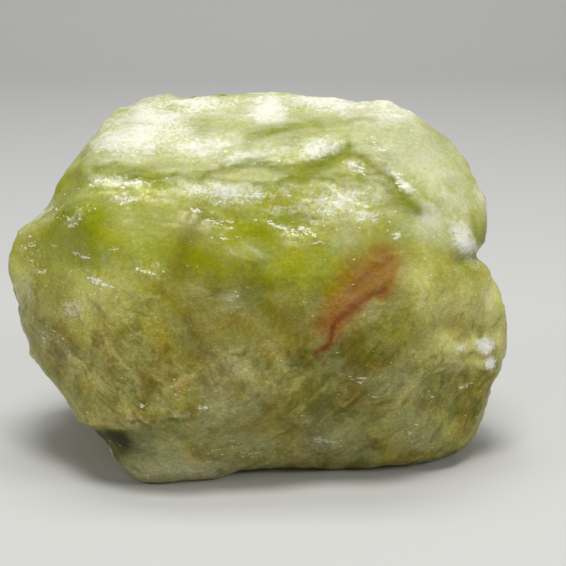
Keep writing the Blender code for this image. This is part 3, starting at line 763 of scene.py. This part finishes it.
LEMON = linear(180, 187, 50)
CHARTREUSE = linear(172, 178, 0)
MOSS = linear(132, 141, 12)
DARK_MOSS = linear(112, 119, 0)
LIME = linear(218, 220, 172)
DEEP_LIME = linear(204, 207, 138)
OLIVE = linear(168, 157, 56)
DARK_OLIVE = linear(134, 122, 26)
GREY_GREEN = linear(180, 180, 120)
DARK_GREEN = linear(84, 86, 10)
# Dark colour of the painted shadow in the hollow under the lower left ledge.
SHADOW_DARK = linear(50, 46, 14)
CREAM = linear(222, 222, 196)
MILKY = linear(218, 214, 130)
FROST_AND_HIGHLIGHT_WHITE = linear(226, 227, 214)
# Near white of the painted glints.
GLINT_WHITE = linear(248, 249, 226)
VEIL = linear(213, 203, 124)
RUST = linear(134, 70, 0)
DARK_RUST = linear(106, 40, 0)


def paint_body(nodes, clouds):
    """Depth of colour: yellow-green inside, earthier and greyer below, paler on top."""
    body = nodes.mix(nodes.ramp(clouds.broad, 0.40, 0.60), CHARTREUSE, LEMON)
    earthy = nodes.mix(nodes.ramp(clouds.broad, 0.42, 0.58), DARK_OLIVE, OLIVE)
    body = nodes.mix(clouds.lowness, body, earthy)
    grey = nodes.math("MULTIPLY", clouds.lowness, nodes.ramp(clouds.mottle, 0.40, 0.64))
    body = nodes.mix(nodes.math("MULTIPLY", grey, 0.40), body, GREY_GREEN)
    top = nodes.mix(nodes.ramp(clouds.drift, 0.38, 0.62), DEEP_LIME, LIME)
    body = nodes.mix(nodes.math("MULTIPLY", nodes.mask("top"), 0.9), body, top)
    # Among these, shade is partly painted shade, and one earth patch is painted shade.
    for name, colour, least, most in (("glow", CHARTREUSE, 0.70, 0.95),
                                      ("milky", MILKY, 0.60, 0.95),
                                      ("pale", CREAM, 0.45, 0.95),
                                      ("grey", GREY_GREEN, 0.60, 0.95),
                                      ("earth", DARK_OLIVE, 0.60, 0.95),
                                      ("shade", DARK_GREEN, 0.50, 0.85)):
        guide = clouds.fibre if name == "pale" else clouds.mottle
        share = nodes.ramp(guide, 0.36, 0.62, least, most)
        body = nodes.mix(nodes.math("MULTIPLY", nodes.mask(name), share), body, colour)
    return body


def paint_veils(nodes, clouds, body):
    """Milky fibres that slant both ways, thin pale healed cracks and the painted shadow in the
    hollow.
    """
    milky = nodes.math("MULTIPLY", clouds.below, nodes.ramp(clouds.fibre, 0.44, 0.66, 0.0, 0.36))
    body = nodes.mix(milky, body, VEIL)
    healed = nodes.math("MULTIPLY", nodes.mask("veils"),
                        nodes.ramp(clouds.fibre, 0.38, 0.60, 0.25, 0.90))
    body = nodes.mix(healed, body, VEIL)
    dark = nodes.math("MULTIPLY", clouds.lowness, nodes.ramp(clouds.fibre, 0.48, 0.34))
    body = nodes.mix(nodes.math("MULTIPLY", dark, 0.42), body, DARK_GREEN)
    lines = nodes.math("MULTIPLY", nodes.mask("lines"),
                       nodes.ramp(clouds.speck, 0.38, 0.55, 0.2, 0.9))
    body = nodes.mix(lines, body, VEIL)
    # Painted shadow: the hollow under the lower left ledge is darkened.
    shadow = nodes.ramp(clouds.mottle, 0.38, 0.60, 0.80, 1.0)
    return nodes.mix(nodes.math("MULTIPLY", nodes.mask("shadow"), shadow), body, SHADOW_DARK)


def paint_frost(nodes, clouds, body):
    """White crushed skin with painted highlights, curly at its edges, and the green that shows
    through it.
    """
    edge = nodes.math("MULTIPLY_ADD", nodes.math("SUBTRACT", clouds.streak, 0.5), 0.6,
                      nodes.mask("frost_and_highlights"))
    edge = nodes.math("MULTIPLY_ADD", nodes.math("SUBTRACT", clouds.drift, 0.5), 0.9, edge)
    edge = nodes.math("MULTIPLY_ADD", nodes.math("SUBTRACT", clouds.curl, 0.4), 0.4, edge)
    edge = nodes.math("MULTIPLY_ADD", nodes.mask("edge"), 0.12, edge)
    # The white covers the crushed skin and the painted highlights.
    frost = nodes.math("MULTIPLY", nodes.ramp(edge, 0.15, 1.05),
                       nodes.ramp(nodes.mask("frost_and_highlights"), 0.02, 0.28))
    body = nodes.mix(frost, body, FROST_AND_HIGHLIGHT_WHITE)
    clear = nodes.math("MULTIPLY", nodes.mask("deep"),
                       nodes.ramp(clouds.streak, 0.36, 0.62, 1.0, 0.68))
    body = nodes.mix(clear, body, DARK_MOSS)
    seam = nodes.math("MULTIPLY", nodes.mask("seam"),
                      nodes.ramp(clouds.streak, 0.36, 0.60, 0.85, 0.45))
    return nodes.mix(seam, body, MOSS), frost


def paint_stain(nodes, clouds, body):
    """Iron stain: a soft red-brown body with darker threads in it."""
    edge = nodes.math("MULTIPLY_ADD", nodes.math("SUBTRACT", clouds.mottle, 0.5), 0.9,
                      nodes.mask("stain"))
    body = nodes.mix(nodes.ramp(edge, 0.05, 1.1, 0.0, 0.78), body, RUST)
    core = nodes.math("MULTIPLY_ADD", nodes.math("SUBTRACT", clouds.speck, 0.5), 1.2,
                      nodes.mask("stain_core"))
    return nodes.mix(nodes.ramp(core, 0.15, 1.0, 0.0, 0.75), body, DARK_RUST)


def paint_wear(nodes, clouds, body, frost):
    """Painted shade in creases, pale edges (part scuff, part painted highlight), no two spots
    alike.
    """
    # Painted shade: creases are darkened towards dark moss green.
    crease = nodes.ramp(nodes.mask("edge"), 0.0, -0.9, 0.0, 0.20)
    body = nodes.mix(crease, body, DARK_MOSS)
    # Edges are tinted pale: part scuffing, part painted highlight.
    rim = nodes.ramp(nodes.mask("edge"), 0.25, 1.0, 0.0, 0.30)
    body = nodes.mix(rim, body, CREAM)
    shade = nodes.add("ShaderNodeHueSaturation")
    grain = nodes.math("ADD", nodes.ramp(clouds.speck, 0.36, 0.68, -0.10, 0.13),
                       nodes.ramp(clouds.dust, 0.40, 0.72, -0.10, 0.26))
    unrest = nodes.ramp(clouds.lowness, 0.0, 1.0, 0.55, 1.0)
    pallor = nodes.math("MAXIMUM", nodes.mask("milky"), nodes.mask("pale"))
    still = nodes.math("MAXIMUM", nodes.math("MULTIPLY", pallor, 0.6), frost)
    unrest = nodes.math("MULTIPLY", unrest, nodes.ramp(still, 0.1, 0.9, 1.0, 0.3))
    nodes.feed(shade.inputs["Value"], nodes.math("MULTIPLY_ADD", grain, unrest, 1.0))
    nodes.feed(shade.inputs["Saturation"], nodes.ramp(clouds.haze, 0.36, 0.62, 1.06, 0.94))
    nodes.feed(shade.inputs["Hue"], nodes.ramp(clouds.mottle, 0.36, 0.62, 0.492, 0.507))
    nodes.feed(shade.inputs["Color"], body)
    return shade.outputs[0]


def glints_of(nodes):
    """Painted glints: tiny bright specks, longer than high, crowded at some places and rare
    elsewhere.
    """
    grains = nodes.noise(0.80, 1.0, 0.5, (2.6, 2.6, 1.0), 6.0, 8.1)
    swarm = nodes.ramp(nodes.noise(6.0, 2.0, 0.5, shift=9.3), 0.40, 0.56, 0.45, 1.0)
    crowd = nodes.math("MULTIPLY", nodes.mask("sparkle"), swarm)
    bright = nodes.ramp(nodes.math("MULTIPLY_ADD", crowd, 0.22, grains), 0.76, 0.82)
    fine = nodes.noise(0.5, 2.0, 0.6, (2.2, 2.2, 1.0), 12.0, 5.9)
    stroke = nodes.math("MULTIPLY_ADD", nodes.mask("glint_strokes"), 0.50, fine)
    return nodes.math("MAXIMUM", bright, nodes.ramp(stroke, 0.80, 1.0))


def set_surface(nodes, clouds, frost, glints):
    """Gloss: glassy where bare, matt where frosty, hackly where chipped."""
    matte = nodes.ramp(frost, 0.0, 1.0, 0.34, 0.55)
    matte = nodes.math("MULTIPLY_ADD", nodes.mask("chipped"), -0.14, matte)
    matte = nodes.math("MULTIPLY_ADD", nodes.math("SUBTRACT", clouds.speck, 0.5), 0.2, matte)
    nodes.feed(nodes.shader.inputs["Roughness"], matte)
    clear = nodes.ramp(nodes.math("MAXIMUM", frost, nodes.mask("chipped")),
                       0.0, 1.0, 0.30, 0.05)
    dull = nodes.math("MAXIMUM", nodes.mask("shadow"), nodes.mask("stain"))
    dark = nodes.math("MAXIMUM", nodes.mask("deep"), nodes.mask("shade"))
    dull = nodes.math("MAXIMUM", dull, nodes.math("MULTIPLY", dark, 0.9))
    cloudy = nodes.math("MAXIMUM", nodes.mask("pale"), nodes.mask("milky"))
    dull = nodes.math("MAXIMUM", dull, nodes.math("MULTIPLY", cloudy, 0.75))
    bare = nodes.ramp(dull, 0.0, 1.0, 1.0, 0.08)
    nodes.feed(nodes.shader.inputs["Transmission Weight"],
               nodes.math("MULTIPLY", clear, bare))
    coat = nodes.math("MULTIPLY", nodes.ramp(frost, 0.0, 0.9, 0.08, 0.12), bare)
    coat = nodes.math("MULTIPLY_ADD", nodes.mask("sparkle"), 0.34, coat)
    nodes.feed(nodes.shader.inputs["Coat Weight"], coat)
    nodes.shader.inputs["Coat Roughness"].default_value = 0.10
    nodes.shader.inputs["Coat IOR"].default_value = 1.5

    hackly = nodes.ramp(nodes.mask("chipped"), 0.0, 0.8, 0.20, 1.3)
    ripple = nodes.noise(2.3, 2.0, 0.5, (1.8, 1.8, 1.0), 5.0, 1.9, 0.3)
    ripple = nodes.math("MULTIPLY", ripple, nodes.ramp(clouds.lowness, 0.0, 0.6, 1.0, 0.4))
    tiny = nodes.noise(0.7, 3.0, 0.6, shift=4.1)
    lift = nodes.math("MULTIPLY_ADD", nodes.facets(1.1, 7.7), 0.55, nodes.facets(2.4, 3.1))
    lift = nodes.math("MULTIPLY", lift, hackly)
    lift = nodes.math("MULTIPLY_ADD", ripple, 0.24, lift)
    lift = nodes.math("MULTIPLY_ADD", tiny, 0.18, lift)
    lift = nodes.math("MULTIPLY_ADD", glints, 0.15, lift)
    bump = nodes.add("ShaderNodeBump")
    bump.inputs["Strength"].default_value = 0.7
    bump.inputs["Distance"].default_value = 0.5 * MM
    nodes.feed(bump.inputs["Height"], lift)
    nodes.feed(nodes.shader.inputs["Normal"], bump.outputs[0])
    nodes.feed(nodes.shader.inputs["Coat Normal"], bump.outputs[0])


def set_depth(nodes):
    """Light that goes in: it scatters near the surface and is tinted on the way."""
    nodes.shader.inputs["IOR"].default_value = 1.54
    nodes.shader.inputs["Specular IOR Level"].default_value = 0.06
    nodes.shader.inputs["Subsurface Weight"].default_value = 0.5
    nodes.shader.inputs["Subsurface Radius"].default_value = (1.0, 0.95, 0.35)
    nodes.shader.inputs["Subsurface Scale"].default_value = 3.0 * MM
    absorb = nodes.add("ShaderNodeVolumeAbsorption")
    absorb.inputs["Color"].default_value = (0.97, 0.97, 0.10, 1.0)
    absorb.inputs["Density"].default_value = 50.0
    nodes.tree.links.new(absorb.outputs[0], nodes.output.inputs["Volume"])


def quartz_material():
    """Cloudy yellow-green quartz, frosty on top and glassy where freshly broken; its colour also
    holds painted shade, highlights and glints.
    """
    material = bpy.data.materials.new("citrine_quartz")
    nodes = Nodes(material)
    down = nodes.noise(4.2, 6.0, 0.64, (1.9, 1.9, 1.0), 42.0, 2.9, 0.9)
    up = nodes.noise(4.2, 6.0, 0.64, (1.9, 1.9, 1.0), -38.0, 6.1, 0.9)
    fold = nodes.noise(2.4, 2.0, 0.5, shift=3.3, twist=1.0)
    clouds = SimpleNamespace(
        lowness=nodes.ramp(nodes.mask("height"), 0.74, 0.40),
        below=nodes.ramp(nodes.mask("height"), 0.52, 0.28),
        broad=nodes.noise(24.0, 3.0, 0.5, shift=0.3, twist=0.4),
        mottle=nodes.noise(9.0, 3.0, 0.5, shift=0.7, twist=0.5),
        haze=nodes.noise(11.0, 5.0, 0.6, (2.2, 2.2, 1.0), 42.0, 2.3, 0.6),
        fibre=nodes.math("ADD", nodes.math("MULTIPLY", nodes.mask("lean"), up),
                         nodes.math("MULTIPLY", nodes.math("SUBTRACT", 1.0, nodes.mask("lean")),
                                    down)),
        curl=nodes.ramp(nodes.math("ABSOLUTE", nodes.math("SUBTRACT", fold, 0.5)), 0.10, 0.0),
        streak=nodes.noise(2.8, 4.0, 0.52, (5.0, 2.0, 1.0), -8.0, 5.3, 0.5),
        drift=nodes.noise(7.0, 5.0, 0.58, (2.6, 1.6, 1.0), -10.0, 7.3, 0.5),
        speck=nodes.noise(1.6, 4.0, 0.6, shift=1.1),
        dust=nodes.noise(0.6, 2.0, 0.6, (1.6, 1.6, 1.0), shift=4.7))
    body = paint_body(nodes, clouds)
    body = paint_veils(nodes, clouds, body)
    body, frost = paint_frost(nodes, clouds, body)
    body = paint_stain(nodes, clouds, body)
    body = paint_wear(nodes, clouds, body, frost)
    glints = glints_of(nodes)
    # Painted glints: the bright specks are mixed into the base colour.
    spark = nodes.math("MULTIPLY", glints, nodes.ramp(clouds.lowness, 0.0, 1.0, 1.0, 0.85))
    body = nodes.mix(spark, body, GLINT_WHITE)
    nodes.feed(nodes.shader.inputs["Base Color"], body)
    set_surface(nodes, clouds, frost, glints)
    set_depth(nodes)
    return material


# ---------------------------------------------------------------- stage

# The sweep is a floor that curves up into a backdrop, in metres.
SWEEP_HALF_WIDTH = 4.0
SWEEP_FRONT = -4.0
SWEEP_BACK = 0.9
SWEEP_BEND = 0.5                # radius of the curve between floor and backdrop
SWEEP_STEPS = 16
SWEEP_TOP = 1.8


def plain_material(name, colour, roughness):
    """A plain matt surface for the stage."""
    material = bpy.data.materials.new(name)
    material.use_nodes = True
    shader = material.node_tree.nodes["Principled BSDF"]
    shader.inputs["Base Color"].default_value = colour
    shader.inputs["Roughness"].default_value = roughness
    return material


def make_floor():
    """A pale sweep: flat floor that curves up into a backdrop."""
    profile = [(SWEEP_FRONT, 0.0), (SWEEP_BACK, 0.0)]
    for step in range(1, SWEEP_STEPS + 1):
        angle = 0.5 * math.pi * step / SWEEP_STEPS
        profile.append((SWEEP_BACK + SWEEP_BEND * math.sin(angle),
                        SWEEP_BEND * (1.0 - math.cos(angle))))
    profile.append((SWEEP_BACK + SWEEP_BEND, SWEEP_TOP))
    work = bmesh.new()
    rows = []
    for depth, height in profile:
        rows.append([work.verts.new((side, depth, height))
                     for side in (-SWEEP_HALF_WIDTH, SWEEP_HALF_WIDTH)])
    for first, second in zip(rows[:-1], rows[1:]):
        work.faces.new((first[0], first[1], second[1], second[0]))
    mesh = bpy.data.meshes.new("sweep")
    work.to_mesh(mesh)
    work.free()
    mesh.shade_smooth()
    floor = bpy.data.objects.new("sweep", mesh)
    bpy.context.scene.collection.objects.link(floor)
    mesh.materials.append(plain_material("pale_paper", (0.56, 0.56, 0.55, 1.0), 0.9))


def aim(thing, place, target):
    """Puts a lamp or camera at a place, looking at a target."""
    thing.location = place
    thing.rotation_euler = (Vector(target) - Vector(place)).to_track_quat("-Z", "Y").to_euler()


def make_light(name, place, size, power, colour, target=AIM * MM):
    """One soft lamp, which looks at the stone unless told otherwise."""
    lamp = bpy.data.lights.new(name, "AREA")
    lamp.shape = "RECTANGLE"
    lamp.size, lamp.size_y = size
    lamp.energy = power
    lamp.color = colour
    thing = bpy.data.objects.new(name, lamp)
    bpy.context.scene.collection.objects.link(thing)
    aim(thing, place, target)


def make_lights():
    """Soft studio light: a broad key over the front, a fill and a low sky."""
    make_light("key", (0.0, -0.30, 1.00), (0.38, 0.28), 6.4, (1.0, 0.99, 0.96))
    make_light("top", (0.0, 0.22, 1.00), (0.50, 0.36), 2.8, (1.0, 1.0, 1.0))
    make_light("right", (0.85, -0.45, 0.50), (0.34, 0.34), 3.0, (1.0, 1.0, 0.98))
    make_light("left", (-0.85, -0.40, 0.50), (0.36, 0.36), 2.0, (1.0, 1.0, 1.0))
    make_light("backdrop", (0.0, 0.45, 1.20), (1.20, 0.30), 5.0, (1.0, 1.0, 1.0),
               (0.0, 1.40, 0.50))
    world = bpy.data.worlds.new("studio")
    world.use_nodes = True
    sky = world.node_tree.nodes["Background"]
    sky.inputs["Color"].default_value = (0.95, 0.97, 1.0, 1.0)
    sky.inputs["Strength"].default_value = 0.18
    bpy.context.scene.world = world


def make_camera():
    """Looks at the stone's broad front."""
    camera = bpy.data.cameras.new("camera")
    camera.lens = LENS
    camera.sensor_width = SENSOR
    thing = bpy.data.objects.new("camera", camera)
    bpy.context.scene.collection.objects.link(thing)
    aim(thing, CAMERA_PLACE * MM, AIM * MM)
    bpy.context.scene.camera = thing


def main():
    noise.seed_set(PLATE_SEED)
    bpy.context.scene.view_settings.view_transform = "Standard"
    make_camera()
    make_floor()
    make_lights()
    stone = fine_copy(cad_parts["citrine"])
    carve(stone)
    stone.data.materials.append(quartz_material())
    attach(stone, "root")
    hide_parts("citrine")


main()
